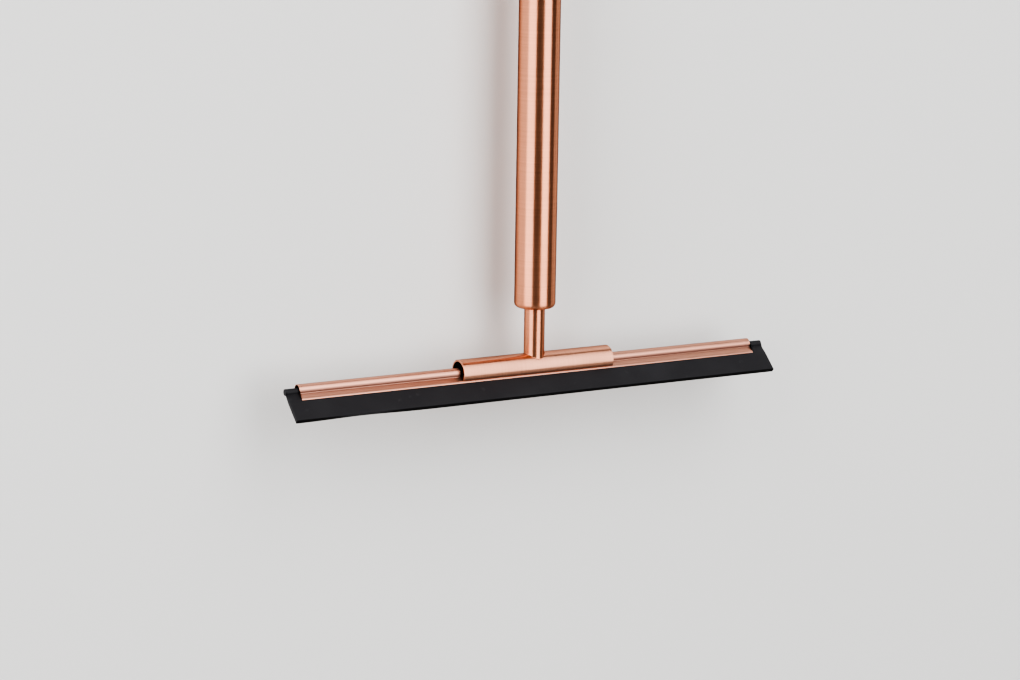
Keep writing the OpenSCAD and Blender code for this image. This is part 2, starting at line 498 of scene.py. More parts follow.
@dataclass
class PiercedWall:
    """A round wall about the handle's axis with the hanging hole through its front and back."""

    hole_r: float
    count: int = 192
    half_window: int = 18
    rows: int = 20

    @property
    def window_angle(self) -> float:
        """Half the angle that the window round the hole takes."""
        return math.tau * self.half_window / self.count

    def window_loop(self) -> list[Point2]:
        """The window's edge as (angle from its middle, height from -1 to 1), anticlockwise."""
        span = self.window_angle
        columns = [span * i / self.half_window for i in range(-self.half_window, self.half_window)]
        rows = [2.0 * i / self.rows - 1.0 for i in range(self.rows)]
        bottom = [(a, -1.0) for a in columns]
        right = [(span, h) for h in rows]
        top = [(-a, 1.0) for a in columns]
        left = [(-span, -h) for h in rows]
        return bottom + right + top + left

    def surface(
        self, bm: Bm, radius: float, z_low: float, z_high: float, rim: float, half_height: float
    ) -> tuple[Ring, Ring, list[list[Ring]]]:
        """Builds one pierced cylinder surface.

        Args:
            bm: The mesh that gets the faces.
            radius: The surface's radius.
            z_low: Its lower end.
            z_high: Its upper end.
            rim: Rounding where the surface turns into the hole, or 0.
            half_height: Half the window's height.

        Returns:
            The bottom ring, the top ring and, for the front and the back, the rings that lead
            into the hole.
        """
        n = self.count
        heights = [-half_height + 2.0 * half_height * i / self.rows for i in range(self.rows + 1)]
        grid = {}
        for j, z in enumerate([z_low, *heights, z_high]):
            for i, point in enumerate(circle_points(radius, z, n)):
                grid[i, j] = point
        centres = (3 * n // 4, n // 4)
        inside = set()
        for centre in centres:
            for d in range(-self.half_window + 1, self.half_window):
                inside.update(((centre + d) % n, j) for j in range(2, self.rows + 1))
        verts = {key: bm.verts.new(point) for key, point in grid.items() if key not in inside}
        for j in range(self.rows + 2):
            for i in range(n):
                corners = [(i, j), ((i + 1) % n, j), ((i + 1) % n, j + 1), (i, j + 1)]
                blocked = 1 <= j <= self.rows and any(
                    -self.half_window <= ((i - centre + n // 2) % n - n // 2) < self.half_window
                    for centre in centres
                )
                if not blocked:
                    bm.faces.new([verts[c] for c in corners])
        holes = [self.window(bm, verts, centre, radius, rim, half_height) for centre in centres]
        bottom = [verts[i, 0] for i in range(n)]
        top = [verts[i, self.rows + 2] for i in range(n)]
        return bottom, top, holes

    def window(
        self,
        bm: Bm,
        verts: dict[tuple[int, int], bmesh.types.BMVert],
        centre: int,
        radius: float,
        rim: float,
        half_height: float,
    ) -> list[Ring]:
        """Fills one window from its square edge to the hole's round edge.

        Args:
            bm: The mesh that gets the faces.
            verts: The surface's vertices by column and row.
            centre: The column at the hole's middle.
            radius: The surface's radius.
            rim: Rounding where the surface turns into the hole, or 0.
            half_height: Half the window's height.

        Returns:
            The rings from the surface into the hole, the last one at the hole's own radius.
        """
        n = self.count
        side = -1.0 if centre == 3 * n // 4 else 1.0
        middle = math.tau * centre / n
        outer: Ring = []
        polar: list[Triple] = []
        for angle, level in self.window_loop():
            column = (centre + round(angle / math.tau * n)) % n
            row = 1 + round((level + 1.0) / 2.0 * self.rows)
            outer.append(verts[column, row])
            across = radius * angle
            up = level * half_height
            polar.append((across, up, math.atan2(up, across)))
        rings = [outer]
        edge = self.hole_r + rim
        for step in range(1, 7):
            blend = (step / 6.0) ** 0.8
            ring = []
            for across, up, turn in polar:
                # On the hole's edge the place across is a chord, so its angle is an arc sine.
                bow = radius * math.asin(edge * math.cos(turn) / radius)
                a = across * (1 - blend) + bow * blend
                z = up * (1 - blend) + edge * math.sin(turn) * blend
                spin = middle + a / radius
                ring.append(bm.verts.new((radius * math.cos(spin), radius * math.sin(spin), z)))
            rings.append(ring)
        for step in range(1, 5) if rim else ():
            bend = math.radians(90.0 * step / 4)
            reach = edge - rim * math.sin(bend)
            sink = rim * (1.0 - math.cos(bend))
            ring = []
            for _, _, turn in polar:
                x = reach * math.cos(turn)
                y = math.sqrt(radius**2 - x * x) - sink
                ring.append(bm.verts.new((-side * x if side > 0 else x, side * y, reach * math.sin(turn))))
            rings.append(ring)
        bridge_all(bm, rings)
        return rings


@dataclass
class Handle:
    """The tube handle with its two end plugs."""

    wall: float = 1.2 * MM
    end_round: float = 2.5 * MM
    head: float = 3.2 * MM
    spigot_gap: float = 0.02 * MM
    hole_r: float = 3.5 * MM
    seat_r: float = 5.08 * MM
    seat_depth: float = 2.04 * MM
    thread_r: float = 3.05 * MM
    window: float = 6.0 * MM
    edge: float = 0.06 * MM
    rim: float = 0.35 * MM
    count: int = 192
    body: str = "handle"

    def __post_init__(self) -> None:
        """Reads the handle's place from the frame."""
        low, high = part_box("handle_tube")
        self.radius = (high[0] - low[0]) / 2
        self.tube_low, self.tube_high = low[2], high[2]
        self.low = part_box("lower_end_plug")[0][2]
        self.lower_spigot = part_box("lower_end_plug")[1][2]
        self.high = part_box("upper_end_plug")[1][2]
        self.upper_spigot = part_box("upper_end_plug")[0][2]

    def tube(self) -> Piece:
        """Builds the tube, with softly broken ends and a rounded hanging hole."""
        bm = bmesh.new()
        drill = PiercedWall(self.hole_r, self.count)
        bore = self.radius - self.wall
        edge = self.edge
        outer_low, outer_high, outer_holes = drill.surface(
            bm, self.radius, self.tube_low + edge, self.tube_high - edge, self.rim, self.window
        )
        inner_low, inner_high, inner_holes = drill.surface(
            bm, bore, self.tube_low, self.tube_high, 0.0, self.window
        )
        for outside, inside in zip(outer_holes, inner_holes):
            bridge(bm, outside[-1], inside[-1])
        for ring, z, inner in (
            (outer_low, self.tube_low, inner_low),
            (outer_high, self.tube_high, inner_high),
        ):
            turned = add_ring(bm, circle_points(self.radius - edge, z, self.count))
            bridge_all(bm, [ring, turned, inner])
        return new_piece("tube_handle", bm)

    def head_profile(self, z: float, up: float) -> list[Point2]:
        """The rounded head's outline from its flat face to its seam with the tube.

        Args:
            z: Height of the flat end face.
            up: 1 where the head's inside is above the face, or -1.

        Returns:
            The outline as (radius, height).
        """
        bend = self.end_round
        centre = (self.radius - bend, z + up * bend)
        rounding = arc(centre, bend, -90.0 * up, 0.0, 14)
        seam = z + up * self.head
        return [*rounding, (self.radius, seam - up * self.edge), (self.radius - self.edge, seam)]

    def lower_plug(self) -> Piece:
        """Builds the lower plug: rounded head, counterbore, thread bore and spigot."""
        bm = bmesh.new()
        spigot_r = self.radius - self.wall - self.spigot_gap
        break_edge = 0.15 * MM
        top = self.lower_spigot
        seat = self.low + self.seat_depth
        profile = [
            (self.seat_r + break_edge, self.low),
            *self.head_profile(self.low, 1.0),
            (spigot_r, self.low + self.head),
            (spigot_r, top - break_edge),
            (spigot_r - break_edge, top),
            (self.thread_r, top),
            (self.thread_r, seat),
            (self.seat_r, seat),
            (self.seat_r, self.low + break_edge),
        ]
        lathe(bm, profile, self.count, closed=True)
        return new_piece("plug_lower", bm)

    def upper_plug(self) -> Piece:
        """Builds the upper plug, whose spigot carries the hanging hole right through."""
        bm = bmesh.new()
        drill = PiercedWall(self.hole_r, self.count)
        spigot_r = self.radius - self.wall - self.spigot_gap
        low, high, holes = drill.surface(
            bm, spigot_r, self.upper_spigot, self.tube_high, 0.0, self.window
        )
        cap(bm, low, Vector((0, 0, self.upper_spigot)))
        head = [
            add_ring(bm, circle_points(r, z, self.count))
            for r, z in reversed(self.head_profile(self.high, -1.0))
        ]
        bridge_all(bm, [high, *head])
        cap(bm, head[-1], Vector((0, 0, self.high)))
        front, back = holes[0][-1], holes[1][-1]
        # The two rings run opposite ways round, so each front vertex finds its partner by place.
        partner = {(round(v.co.x, 7), round(v.co.z, 7)): v for v in back}
        ordered = [partner[round(v.co.x, 7), round(v.co.z, 7)] for v in front]
        bridge(bm, front, ordered)
        return new_piece("plug_upper", bm)

    def build(self, copper: Material) -> None:
        """Builds and dresses the handle's pieces."""
        dress(self.tube(), copper, self.body, "handle_tube")
        dress(self.lower_plug(), copper, self.body, "lower_end_plug")
        dress(self.upper_plug(), copper, self.body, "upper_end_plug")


# ---------------------------------------------------------------- geometry node trees


class FieldTree:
    """A small Geometry Nodes tree that moves a grid's points by a rule."""

    def __init__(self, name: str, sizes: dict[str, float]) -> None:
        """Starts a tree with one float input for each named size."""
        self.tree = bpy.data.node_groups.new(name, "GeometryNodeTree")
        face = self.tree.interface
        face.new_socket("Geometry", in_out="INPUT", socket_type="NodeSocketGeometry")
        self.keys: dict[str, str] = {}
        self.sizes = sizes
        for label, value in sizes.items():
            socket = face.new_socket(label, in_out="INPUT", socket_type="NodeSocketFloat")
            socket.default_value = value
            self.keys[label] = socket.identifier
        socket = face.new_socket("Material", in_out="INPUT", socket_type="NodeSocketMaterial")
        self.keys["Material"] = socket.identifier
        face.new_socket("Geometry", in_out="OUTPUT", socket_type="NodeSocketGeometry")
        self.source = self.tree.nodes.new("NodeGroupInput")
        self.target = self.tree.nodes.new("NodeGroupOutput")

    def size(self, label: str) -> Socket:
        """The socket of a named size."""
        return self.source.outputs[label]

    def math(self, operation: str, *operands: object) -> Socket:
        """A Math node's result."""
        return math_node(self.tree, operation, *operands)

    def wall(self, turns: int, rows: int) -> tuple[Socket, Socket]:
        """Adds the flat grid that becomes a round wall.

        Args:
            turns: Steps round the wall.
            rows: Steps along the wall.

        Returns:
            How far round and how far along a point is, each from 0 to 1.
        """
        self.grid = add_node(self.tree, "GeometryNodeMeshGrid")
        for axis, steps in (("X", turns), ("Y", rows)):
            self.grid.inputs[f"Vertices {axis}"].default_value = steps + 1
            self.grid.inputs[f"Size {axis}"].default_value = 1.0
        place = add_node(self.tree, "GeometryNodeInputPosition")
        split = add_node(self.tree, "ShaderNodeSeparateXYZ")
        self.tree.links.new(place.outputs[0], split.inputs[0])
        return self.math("ADD", split.outputs[0], 0.5), self.math("ADD", split.outputs[1], 0.5)

    def close(self, radius: Socket, angle: Socket, height: Socket) -> None:
        """Moves the grid to radius, angle and height, and ends in Realize Instances and Set Material."""
        join = add_node(self.tree, "ShaderNodeCombineXYZ")
        self.tree.links.new(self.math("MULTIPLY", radius, self.math("COSINE", angle)), join.inputs[0])
        self.tree.links.new(self.math("MULTIPLY", radius, self.math("SINE", angle)), join.inputs[1])
        self.tree.links.new(height, join.inputs[2])
        move = add_node(self.tree, "GeometryNodeSetPosition")
        self.tree.links.new(self.grid.outputs["Mesh"], move.inputs["Geometry"])
        self.tree.links.new(join.outputs[0], move.inputs["Position"])
        real = self.tree.nodes.new("GeometryNodeRealizeInstances")
        paint = self.tree.nodes.new("GeometryNodeSetMaterial")
        self.tree.links.new(move.outputs["Geometry"], real.inputs["Geometry"])
        self.tree.links.new(real.outputs["Geometry"], paint.inputs["Geometry"])
        self.tree.links.new(self.source.outputs["Material"], paint.inputs["Material"])
        self.tree.links.new(paint.outputs["Geometry"], self.target.inputs["Geometry"])

    def make(self, name: str, material: Material) -> bpy.types.Mesh:
        """Runs the tree on an empty mesh and returns the plain mesh that it makes."""
        holder = bpy.data.objects.new(name + "_holder", bpy.data.meshes.new(name + "_holder"))
        bpy.context.scene.collection.objects.link(holder)
        modifier = holder.modifiers.new("build", "NODES")
        modifier.node_group = self.tree
        for label, value in self.sizes.items():
            modifier[self.keys[label]] = value
        modifier[self.keys["Material"]] = material
        bpy.context.view_layer.update()
        made = holder.evaluated_get(bpy.context.evaluated_depsgraph_get())
        mesh = bpy.data.meshes.new_from_object(made)
        holder.modifiers.clear()
        bpy.data.objects.remove(holder)
        return mesh


def thread_tree(sizes: dict[str, float], turns: int, rows: int) -> FieldTree:
    """A round bar with a V thread: each point's radius follows the thread's pitch.

    Args:
        sizes: Length, Radius, Groove, Pitch and Chamfer, in metres.
        turns: Points round the bar.
        rows: Points along the bar.

    Returns:
        The tree, which makes the bar's wall along +Z from the origin.
    """
    nodes = FieldTree("stud_thread", sizes)
    around, share = nodes.wall(turns, rows)
    along = nodes.math("MULTIPLY", share, nodes.size("Length"))
    phase = nodes.math("SUBTRACT", nodes.math("DIVIDE", along, nodes.size("Pitch")), around)
    wave = nodes.math("PINGPONG", phase, 0.5)
    crest, flank = 0.06, 0.375
    shaped = nodes.math("MINIMUM", nodes.math("MAXIMUM", nodes.math("SUBTRACT", wave, crest), 0.0), flank)
    depth = nodes.math("MULTIPLY", nodes.math("DIVIDE", shaped, flank), nodes.size("Groove"))
    radius = nodes.math("SUBTRACT", nodes.size("Radius"), depth)
    far = nodes.math("SUBTRACT", nodes.size("Length"), along)
    near = nodes.math("MINIMUM", along, far)
    inset = nodes.math("SUBTRACT", nodes.size("Radius"), nodes.size("Chamfer"))
    radius = nodes.math("MINIMUM", radius, nodes.math("ADD", inset, near))
    nodes.close(radius, nodes.math("MULTIPLY", around, math.tau), along)
    return nodes


def saddle_tree(sizes: dict[str, float], turns: int, rows: int) -> FieldTree:
    """A round bar's wall whose foot is cut to the curve of a tube that crosses under it.

    Args:
        sizes: Radius, Tube, Height, Foot and Flare, in metres. Height is the top above the
            tube's axis, and Foot is how far up the small weld flare reaches.
        turns: Points round the bar.
        rows: Points along the bar.

    Returns:
        The tree, which makes the wall round +Z with the tube's axis through the origin.
    """
    nodes = FieldTree("saddle_wall", sizes)
    around, share = nodes.wall(turns, rows)
    angle = nodes.math("MULTIPLY", around, math.tau)
    level = nodes.math("POWER", share, 2.2)
    across = nodes.math("MULTIPLY", nodes.size("Radius"), nodes.math("SINE", angle))
    tube2 = nodes.math("MULTIPLY", nodes.size("Tube"), nodes.size("Tube"))
    foot = nodes.math("SQRT", nodes.math("SUBTRACT", tube2, nodes.math("MULTIPLY", across, across)))
    rise = nodes.math("MULTIPLY", nodes.math("SUBTRACT", nodes.size("Height"), foot), level)
    z = nodes.math("ADD", foot, rise)
    part = nodes.math("DIVIDE", rise, nodes.size("Foot"))
    near = nodes.math("MAXIMUM", nodes.math("SUBTRACT", 1.0, part), 0.0)
    flare = nodes.math("MULTIPLY", nodes.math("MULTIPLY", near, near), nodes.size("Flare"))
    nodes.close(nodes.math("ADD", nodes.size("Radius"), flare), angle, z)
    return nodes


def seam_rings(bm: Bm) -> list[Ring]:
    """Merges a wrapped grid's seam and returns its two open edges as rings, lower first."""
    bmesh.ops.remove_doubles(bm, verts=bm.verts[:], dist=1e-7)
    rims = {e for e in bm.edges if e.is_boundary}
    rings: list[Ring] = []
    while rims:
        edge = rims.pop()
        ring = [edge.verts[0], edge.verts[1]]
        while True:
            step = next((e for e in ring[-1].link_edges if e in rims), None)
            if step is None:
                break
            rims.discard(step)
            ring.append(step.other_vert(ring[-1]))
        if ring[-1] is ring[0]:
            ring.pop()
        rings.append(ring)
    return sorted(rings, key=lambda ring: sum(v.co.z for v in ring) / len(ring))


# ---------------------------------------------------------------- neck


@dataclass
class Neck:
    """The neck rod, the stud that screws it to the handle and the lock washer."""

    bore_r: float = 3.05 * MM
    grip: float = 10.0 * MM
    pitch: float = 1.0 * MM
    groove: float = 0.55 * MM
    chamfer: float = 0.6 * MM
    top_break: float = 0.2 * MM
    weld_rise: float = 0.35 * MM
    weld_flare: float = 0.22 * MM
    count: int = 144
    body: str = "head"
    washer_body: str = "washer"

    def __post_init__(self) -> None:
        """Reads the neck's place from the frame."""
        low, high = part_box("neck_rod")
        self.radius = (high[0] - low[0]) / 2
        self.top = high[2]
        clip_low, clip_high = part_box("clip_tube")
        self.tube_r = (clip_high[1] - clip_low[1]) / 2
        self.axis_z = clip_high[2] - self.tube_r
        self.stud_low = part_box("neck_stud")[0][2]
        self.stud_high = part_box("neck_stud")[1][2]
        self.stud_r = (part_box("neck_stud")[1][0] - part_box("neck_stud")[0][0]) / 2

    def rod(self, copper: Material) -> Piece:
        """Builds the rod: saddle foot, small weld flare, broken top edge and thread bore."""
        sizes = {
            "Radius": self.radius,
            "Tube": self.tube_r,
            "Height": self.top - self.top_break - self.axis_z,
            "Foot": self.weld_rise,
            "Flare": self.weld_flare,
        }
        mesh = saddle_tree(sizes, self.count, 60).make("rod", copper)
        bm = bmesh.new()
        bm.from_mesh(mesh)
        bmesh.ops.translate(bm, verts=bm.verts[:], vec=(0, 0, self.axis_z))
        foot, top = seam_rings(bm)
        self.close_foot(bm, foot)
        floor = self.top - self.grip
        spin = [math.atan2(v.co.y, v.co.x) for v in top]
        rings = [top]
        for r, z in (
            (self.radius - self.top_break, self.top),
            (self.bore_r + self.top_break, self.top),
            (self.bore_r, self.top - self.top_break),
            (self.bore_r, floor),
        ):
            rings.append(add_ring(bm, [Vector((r * math.cos(a), r * math.sin(a), z)) for a in spin]))
        bridge_all(bm, rings)
        cap(bm, rings[-1], Vector((0, 0, floor)))
        return new_piece("rod_neck", bm)

    def close_foot(self, bm: Bm, foot: Ring) -> None:
        """Closes the rod's foot with a saddle that lies on the clip tube.

        Args:
            bm: The rod's mesh.
            foot: The ring round its foot.
        """
        rings = [foot]
        for share in (0.75, 0.5, 0.25):
            ring = []
            for vert in foot:
                x, y = vert.co.x * share, vert.co.y * share
                ring.append(bm.verts.new((x, y, self.axis_z + math.sqrt(self.tube_r**2 - y * y))))
            rings.append(ring)
        bridge_all(bm, rings)
        cap(bm, rings[-1], Vector((0, 0, self.axis_z + self.tube_r)))

    def stud(self, steel: Material) -> Piece:
        """Builds the threaded stud."""
        sizes = {
            "Length": self.stud_high - self.stud_low,
            "Radius": self.stud_r,
            "Groove": self.groove,
            "Pitch": self.pitch,
            "Chamfer": self.chamfer,
        }
        mesh = thread_tree(sizes, 64, 280).make("stud", steel)
        bm = bmesh.new()
        bm.from_mesh(mesh)
        bmesh.ops.translate(bm, verts=bm.verts[:], vec=(0, 0, self.stud_low))
        low, high = seam_rings(bm)
        cap(bm, low, Vector((0, 0, self.stud_low)))
        cap(bm, high, Vector((0, 0, self.stud_high)))
        return new_piece("stud_neck", bm, smooth_angle=50.0)

    def washer(self) -> Piece:
        """Builds the lock washer, a flat ring with rounded edges."""
        low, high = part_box("lock_washer")
        outer = (high[0] - low[0]) / 2
        bend = 0.2 * MM
        corners = (
            ((outer - bend, low[2] + bend), -90.0),
            ((outer - bend, high[2] - bend), 0.0),
            ((self.bore_r + bend, high[2] - bend), 90.0),
            ((self.bore_r + bend, low[2] + bend), 180.0),
        )
        profile = []
        for centre, start in corners:
            profile += arc(centre, bend, start, start + 90.0, 5)
        bm = bmesh.new()
        lathe(bm, profile, 96, closed=True)
        return new_piece("washer_lock", bm)

    def build(self, copper: Material, steel: Material, nylon: Material) -> None:
        """Builds and dresses the neck's pieces."""
        dress(self.rod(copper), copper, self.body, "neck_rod")
        dress(self.stud(steel), steel, self.body, "neck_stud")
        dress(self.washer(), nylon, self.washer_body, "lock_washer")


# ---------------------------------------------------------------- bars along the blade


@dataclass
class BladeFrame:
    """Turns outlines in the blade's own plane into places in the row frame.

    In an outline, u runs along the blade, out and down, and v stands on it, forward and up.
    """

    angle: float = math.radians(42.0)

    def __post_init__(self) -> None:
        """Finds the clip tube's axis in the frame."""
        low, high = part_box("clip_tube")
        self.axis_z = high[2] - (high[1] - low[1]) / 2

    def place(self, x: float, u: float, v: float) -> Vector:
        """The point at x along the bar and (u, v) in its outline."""
        c, s = math.cos(self.angle), math.sin(self.angle)
        return Vector((x, -c * u - s * v, self.axis_z - s * u + c * v))

    def bar(
        self,
        name: str,
        outline: Sequence[Point2],
        span: Point2,
        edge: float,
        steps: int = 1,
        draw: Callable[[float, float], float] | None = None,
    ) -> Piece:
        """Builds a straight bar with slightly broken end edges.

        Args:
            name: The piece's name.
            outline: A closed outline as (u, v), anticlockwise.
            span: The bar's ends along X.
            edge: How far the outline shrinks over the last bit of each end.
            steps: Lengths that the bar is split into.
            draw: How far the outline draws back along the blade at (x, u), or none.

        Returns:
            The finished bar.
        """
        bm = bmesh.new()
        normals = outline_normals(outline)
        left, right = span
        xs = [left + edge + (right - left - 2 * edge) * i / steps for i in range(steps + 1)]
        rows = [(left, edge), *((x, 0.0) for x in xs), (right, edge)]
        rings = []
        for x, inset in rows:
            ring = []
            for (u, v), (nu, nv) in zip(outline, normals):
                back = draw(x, u) if draw else 0.0
                ring.append(bm.verts.new(self.place(x, u - nu * inset - back, v - nv * inset)))
            rings.append(ring)
        bridge_all(bm, rings)
        # Known fault: these ends have no normals yet, and their triangles lie across an open section.
        ends = [bm.faces.new(rings[0]), bm.faces.new(rings[-1])]
        bmesh.ops.triangulate(bm, faces=ends, ngon_method="EAR_CLIP")
        return new_piece(name, bm)


def outline_normals(outline: Sequence[Point2]) -> list[Point2]:
    """Outward normals of a closed anticlockwise outline, one for each point."""
    normals = []
    count = len(outline)
    for i in range(count):
        (u0, v0), (u1, v1) = outline[i - 1], outline[(i + 1) % count]
        du, dv = u1 - u0, v1 - v0
        length = math.hypot(du, dv) or 1.0
        normals.append((dv / length, -du / length))
    return normals


def rounded(corner: Point2, before: Point2, after: Point2, radius: float, steps: int = 5) -> list[Point2]:
    """A corner replaced by a soft curve that starts radius before it and ends radius after it."""
    return soft_curve(towards(corner, before, radius), corner, towards(corner, after, radius), steps)


def soft_curve(start: Point2, corner: Point2, end: Point2, steps: int) -> list[Point2]:
    """Points from start to end on a curve that leaves and arrives along the corner's two sides."""
    points = []
    for i in range(steps + 1):
        t = i / steps
        a, b, c = (1 - t) ** 2, 2 * t * (1 - t), t * t
        points.append(tuple(a * start[k] + b * corner[k] + c * end[k] for k in (0, 1)))
    return points


def towards(start: Point2, goal: Point2, distance: float) -> Point2:
    """The point at a distance from start on the way to goal."""
    length = math.hypot(goal[0] - start[0], goal[1] - start[1])
    share = distance / length
    return (start[0] + (goal[0] - start[0]) * share, start[1] + (goal[1] - start[1]) * share)


@dataclass
class ClipTube:
    """The slotted tube that the neck stands on."""

    wall: float = 1.0 * MM
    slot_half: float = 1.354 * MM
    edge: float = 0.12 * MM
    body: str = "head"

    def build(self, place: BladeFrame, copper: Material) -> None:
        """Builds and dresses the tube.

        Args:
            place: The blade's frame.
            copper: The tube's material.
        """
        low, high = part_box("clip_tube")
        outer = (high[1] - low[1]) / 2
        inner = outer - self.wall
        turn_out = math.degrees(math.asin(self.slot_half / outer))
        turn_in = math.degrees(math.asin(self.slot_half / inner))
        soft = math.degrees(self.edge / outer)
        outside = arc((0.0, 0.0), outer, turn_out + soft, 360.0 - turn_out - soft, 120)
        inside = arc((0.0, 0.0), inner, 360.0 - turn_in - soft, turn_in + soft, 100)
        lips = []
        for side in (-1.0, 1.0):
            far = (math.sqrt(outer**2 - self.slot_half**2), side * self.slot_half)
            near = (math.sqrt(inner**2 - self.slot_half**2), side * self.slot_half)
            lips.append((far, near))
        (far_a, near_a), (far_b, near_b) = lips
        first = [towards(far_a, near_a, self.edge), towards(near_a, far_a, self.edge)]
        last = [towards(near_b, far_b, self.edge), towards(far_b, near_b, self.edge)]
        outline = [*outside, *first, *inside, *last]
        piece = place.bar("tube_clip", outline, (low[0], high[0]), self.edge)
        dress(piece, copper, self.body, "clip_tube")


@dataclass
class BladeChannel:
    """The folded strip: a round back, a pinch and two flared lips."""

    strip: float = 0.4 * MM
    back_r: float = 2.75 * MM
    back_u: float = 0.4 * MM
    pinch_r: float = 0.87 * MM
    lip_r: float = 1.36 * MM
    lip_drop: float = 6.6 * MM
    fold: float = 0.45 * MM
    edge: float = 0.05 * MM
    bevel_lead: float = 1.5 * MM
    bevel_run: float = 0.55 * MM
    bevel_fall: float = 0.29 * MM
    body: str = "channel"

    def half_line(self) -> list[Point2]:
        """The strip's middle line on one side, from the lip's edge to the top of the back."""
        mid = self.strip / 2
        radius = self.back_r - mid
        pinch_v = self.pinch_r - mid
        pinch_u = self.back_u + math.sqrt(self.back_r**2 - self.pinch_r**2)
        lip_end = (self.back_u + self.lip_drop, self.lip_r - mid)
        start = math.degrees(math.asin((pinch_v + self.fold * 0.6) / radius))
        back = arc((self.back_u, 0.0), radius, start, 180.0, 44)
        corner = (pinch_u, pinch_v)
        lip = towards(corner, lip_end, self.fold)
        curve = soft_curve(lip, corner, back[0], 8)[1:-1]
        return [lip_end, lip, *curve, *back]

    def eased(self, corner: Point2, along: Point2, across: Point2) -> list[Point2]:
        """A lip's outer corner, broken by a long bevel that catches the light.

        Args:
            corner: The corner.
            along: A point back along the lip's outer face.
            across: The corner's partner on the inner face.
        """
        start, fall = towards(corner, along, self.bevel_run), towards(corner, across, self.bevel_fall)
        return [towards(corner, along, self.bevel_lead), start, fall]

    def outline(self) -> list[Point2]:
        """The strip's closed outline, with bevelled edges at the lips."""
        half = self.half_line()
        line = half + [(u, -v) for u, v in reversed(half[:-1])]
        outer, inner = [], []
        for i, (u, v) in enumerate(line):
            (u0, v0), (u1, v1) = line[max(i - 1, 0)], line[min(i + 1, len(line) - 1)]
            du, dv = u1 - u0, v1 - v0
            length = math.hypot(du, dv)
            nu, nv = dv / length * self.strip / 2, -du / length * self.strip / 2
            outer.append((u + nu, v + nv))
            inner.append((u - nu, v - nv))
        trim = 0.1 * MM
        last_lip = self.eased(outer[-1], outer[-2], inner[-1])
        last_lip += rounded(inner[-1], outer[-1], inner[-2], trim, 3)
        first_lip = rounded(inner[0], inner[1], outer[0], trim, 3)
        first_lip += self.eased(outer[0], outer[1], inner[0])[::-1]
        ring = outer[1:-1] + last_lip + inner[-2:0:-1] + first_lip
        area = sum(p[0] * q[1] - q[0] * p[1] for p, q in zip(ring, ring[1:] + ring[:1]))
        return ring if area > 0 else ring[::-1]

    def build(self, place: BladeFrame, copper: Material) -> None:
        """Builds and dresses the channel."""
        low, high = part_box("blade_channel")
        piece = place.bar("channel_blade", self.outline(), (low[0], high[0]), self.edge)
        dress(piece, copper, self.body, "blade_channel")


@dataclass
class RubberBlade:
    """The rubber: a bead in the channel's back, a thin neck, and a flat web to the wiping edge."""

    bead_r: float = 1.6 * MM
    bead_u: float = 1.006 * MM
    pinch_u: float = 3.009 * MM
    neck_half: float = 0.4 * MM
    lip_u: float = 7.0 * MM
    lip_half: float = 0.89 * MM
    web_half: float = 0.95 * MM
    edge_u: float = 18.3 * MM
    wear: float = 0.14 * MM
    dip: float = 0.62 * MM
    dip_x: float = -99 * MM
    dip_width: float = 20 * MM
    body: str = "rubber"
    corner: float = 0.08 * MM

    def outline(self) -> list[Point2]:
        """The section's closed outline, anticlockwise."""
        turn = math.degrees(math.asin(self.neck_half / self.bead_r))
        bead = arc((self.bead_u, 0.0), self.bead_r, turn, 360.0 - turn, 56)
        lower = [
            ((self.pinch_u, -self.neck_half), 0.3 * MM),
            ((self.lip_u, -self.lip_half), 0.3 * MM),
            ((self.lip_u + self.web_half, -self.web_half), 0.3 * MM),
            ((self.edge_u, -self.web_half), self.corner),
        ]
        side = [*lower, *(((u, -v), r) for (u, v), r in reversed(lower))]
        points = [bead[-1], *(corner for corner, _ in side), bead[0]]
        web = []
        for i, (corner, radius) in enumerate(side, start=1):
            web.extend(rounded(corner, points[i - 1], points[i + 1], radius, 4))
        return bead + web

    def worn(self, x: float, u: float) -> float:
        """How far the wiping edge has worn back at (x, u): a little all along, more in one dip."""
        reach = max(0.0, (u - self.lip_u) / (self.edge_u - self.lip_u))
        dip = self.dip * math.exp(-(((x - self.dip_x) / self.dip_width) ** 2))
        return reach * (self.wear * (1.0 + 0.6 * math.sin(24.0 * x + 1.2)) + dip)

    def build(self, place: BladeFrame, rubber: Material) -> None:
        """Builds and dresses the rubber."""
        low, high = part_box("rubber_blade")
        piece = place.bar("blade_rubber", self.outline(), (low[0], high[0]), 0.04 * MM, 160, self.worn)
        dress(piece, rubber, self.body, "rubber_blade")


# ---------------------------------------------------------------- studio


@dataclass(frozen=True)
class SoftBox:
    """A rectangular studio light that faces the squeegee's head."""

    name: str
    azimuth: float
    elevation: float
    distance: float
    width: float
    height: float
    strength: float
    colour: Colour = (1.0, 1.0, 1.0)

    def build(self, aim: Vector) -> None:
        """Places the light round a point, at its azimuth from the front and its elevation.

        Args:
            aim: The point that the light faces.
        """
        a, e = math.radians(self.azimuth), math.radians(self.elevation)
        away = Vector((math.sin(a) * math.cos(e), -math.cos(a) * math.cos(e), math.sin(e)))
        data = bpy.data.lights.new(self.name, "AREA")
        data.shape = "RECTANGLE"
        data.size, data.size_y = self.width, self.height
        data.energy = self.strength * self.width * self.height * math.pi
        data.color = self.colour
        light = bpy.data.objects.new(self.name, data)
        light.location = aim + away * self.distance
        light.rotation_mode = "QUATERNION"
        light.rotation_quaternion = (-away).to_track_quat("-Z", "Y")
        light.visible_camera = False
        bpy.context.scene.collection.objects.link(light)


